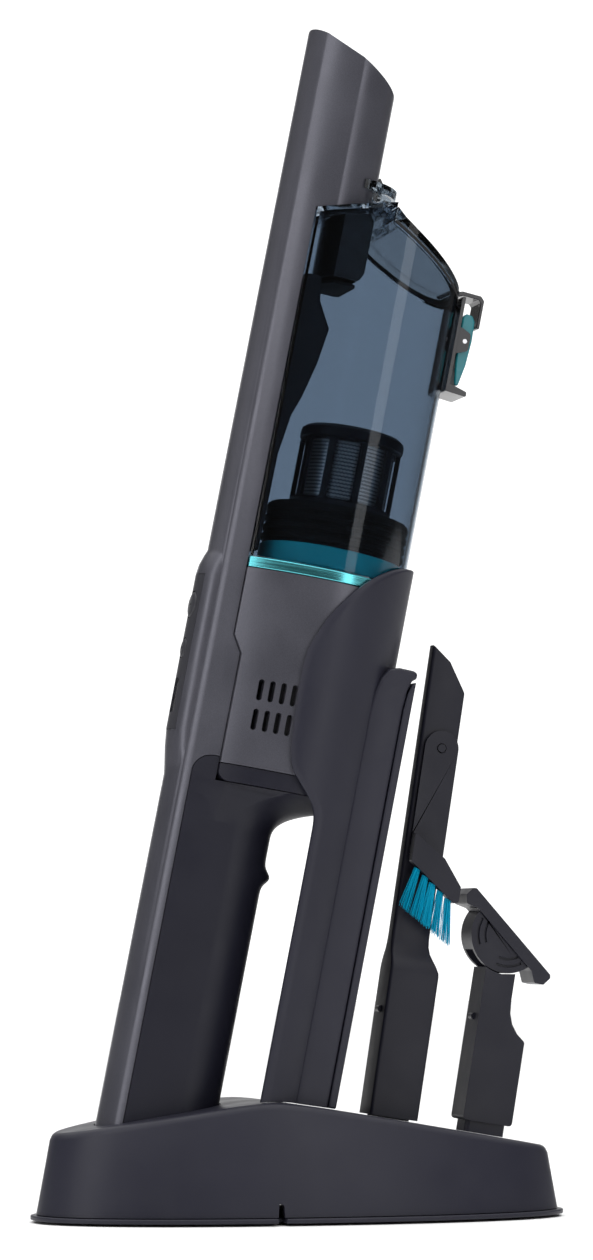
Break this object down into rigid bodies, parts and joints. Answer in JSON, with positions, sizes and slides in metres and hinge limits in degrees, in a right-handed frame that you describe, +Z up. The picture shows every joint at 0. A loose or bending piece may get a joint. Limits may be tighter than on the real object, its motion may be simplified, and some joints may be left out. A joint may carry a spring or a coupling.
{
  "type": "handheld vacuum cleaner",
  "caption": "Cordless handheld vacuum with a clear dust cup, leaning in a charging stand with a curved cradle arm and two clip-on nozzles.",
  "frame": {"origin": "centre of the base's footprint, on the floor plane under the rubber feet", "axes": "+X along the base from the vacuum's handle to the nozzles, +Y from the front to the back, +Z up"},
  "size_m": [0.2076, 0.0868, 0.4594],
  "materials": {
    "gunmetal_plastic": "satin metallic grey moulding",
    "charcoal_plastic": "fine satin charcoal moulding",
    "black_plastic": "satin black moulding",
    "soft_grip": "soft-touch black",
    "rubber": "black rubber",
    "smoke_polycarbonate": "clear smoke-blue polycarbonate",
    "teal_plastic": "teal moulding",
    "teal_anodised": "brushed teal anodising",
    "steel": "brushed",
    "brass": "plated contact",
    "blue_bristle": "cyan nylon bristle",
    "filter_paper": "pleated paper",
    "circuit_board": "green board",
    "cell_sleeve": "blue sleeve"
  },
  "bodies": {
    "stand": {"base_shell": "charcoal_plastic", "base_plate": "charcoal_plastic", "base_screw_1": "steel", "base_screw_2": "steel", "rubber_foot_1": "rubber", "rubber_foot_2": "rubber", "rubber_foot_3": "rubber", "rubber_foot_4": "rubber", "contact_block": "black_plastic", "charge_pin_1": "brass", "charge_pin_2": "brass", "dc_jack": "black_plastic", "cradle_arm": "charcoal_plastic", "arm_rear_cover": "charcoal_plastic", "crevice_post": "charcoal_plastic", "upholstery_post": "charcoal_plastic"},
    "vacuum": {"spine_shell": "gunmetal_plastic", "control_panel": "black_plastic", "battery_indicator": "smoke_polycarbonate", "control_board": "circuit_board", "cup_catch": "black_plastic", "grip": "soft_grip", "handle_end_cap": "black_plastic", "charge_contact_1": "brass", "charge_contact_2": "brass", "battery_cell_1": "cell_sleeve", "battery_cell_2": "cell_sleeve", "motor_housing": "gunmetal_plastic", "motor_cover": "black_plastic", "trim_ring": "teal_anodised", "motor_can": "steel", "motor_mount": "rubber", "dust_cup": "smoke_polycarbonate", "inlet_duct": "black_plastic", "lid_hinge_pin": "steel", "latch_bracket": "black_plastic", "latch_pin": "steel"},
    "power_button": {"power_button": "black_plastic"},
    "mode_button": {"mode_button": "black_plastic"},
    "rotor": {"motor_shaft": "steel", "impeller": "steel"},
    "filter": {"filter_base": "teal_anodised", "filter_seal": "rubber", "filter_cage": "black_plastic", "filter_mesh": "steel", "filter_cartridge": "filter_paper"},
    "cup_lid": {"cup_lid": "smoke_polycarbonate"},
    "latch_button": {"latch_button": "teal_plastic"},
    "cup_release_tab": {"cup_release_tab": "smoke_polycarbonate"},
    "inlet_flap": {"inlet_flap": "rubber"},
    "crevice_tool": {"crevice_nozzle": "black_plastic", "brush_pivot": "steel"},
    "brush": {"brush_arm": "black_plastic", "brush_bristles": "blue_bristle"},
    "upholstery_tool": {"upholstery_neck": "black_plastic"},
    "nozzle_head": {"upholstery_head": "black_plastic"}
  },
  "joints": [
    {"name": "vacuum_lift", "type": "slide", "parent": "stand", "child": "vacuum", "axis": [0.1942, 0, 0.981], "range_m": [0, 0.25]},
    {"name": "power_press", "type": "slide", "parent": "vacuum", "child": "power_button", "axis": [0.981, 0, -0.1942], "range_m": [0, 0.0008], "stiffness_N_per_m": 600},
    {"name": "mode_press", "type": "slide", "parent": "vacuum", "child": "mode_button", "axis": [0.981, 0, -0.1942], "range_m": [0, 0.0008], "stiffness_N_per_m": 600},
    {"name": "rotor_spin", "type": "hinge", "parent": "vacuum", "child": "rotor", "pos_m": [0.0066, 0, 0.22607], "axis": [0.1942, 0, 0.981], "continuous": true},
    {"name": "filter_twist", "type": "hinge", "parent": "vacuum", "child": "filter", "pos_m": [0.01107, 0, 0.24863], "axis": [0.1942, 0, 0.981], "range_deg": [0, 30]},
    {"name": "lid_hinge", "type": "hinge", "parent": "vacuum", "child": "cup_lid", "pos_m": [0.03151, 0, 0.38893], "axis": [0, -1, 0], "range_deg": [0, 45]},
    {"name": "latch_rock", "type": "hinge", "parent": "vacuum", "child": "latch_button", "pos_m": [0.06404, 0, 0.33804], "axis": [0, 1, 0], "range_deg": [0, 5], "stiffness_Nm_per_rad": 0.25},
    {"name": "tab_press", "type": "slide", "parent": "vacuum", "child": "cup_release_tab", "axis": [-0.1942, 0, -0.981], "range_m": [0, 0.0015], "stiffness_N_per_m": 500},
    {"name": "flap_hinge", "type": "hinge", "parent": "vacuum", "child": "inlet_flap", "pos_m": [0.00556, 0, 0.35778], "axis": [0, 1, 0], "range_deg": [0, 60], "stiffness_Nm_per_rad": 0.0015, "springref_deg": -11.46},
    {"name": "crevice_lift", "type": "slide", "parent": "stand", "child": "crevice_tool", "axis": [0.1547, 0, 0.988], "range_m": [0, 0.03]},
    {"name": "brush_flip", "type": "hinge", "parent": "crevice_tool", "child": "brush", "pos_m": [0.05532, 0, 0.17969], "axis": [0, -1, 0], "range_deg": [0, 180]},
    {"name": "upholstery_lift", "type": "slide", "parent": "stand", "child": "upholstery_tool", "axis": [0.1633, 0, 0.9866], "range_m": [0, 0.03]},
    {"name": "head_swivel", "type": "hinge", "parent": "upholstery_tool", "child": "nozzle_head", "pos_m": [0.08141, 0, 0.1078], "axis": [0, 1, 0], "range_deg": [-45, 12]}
  ]
}
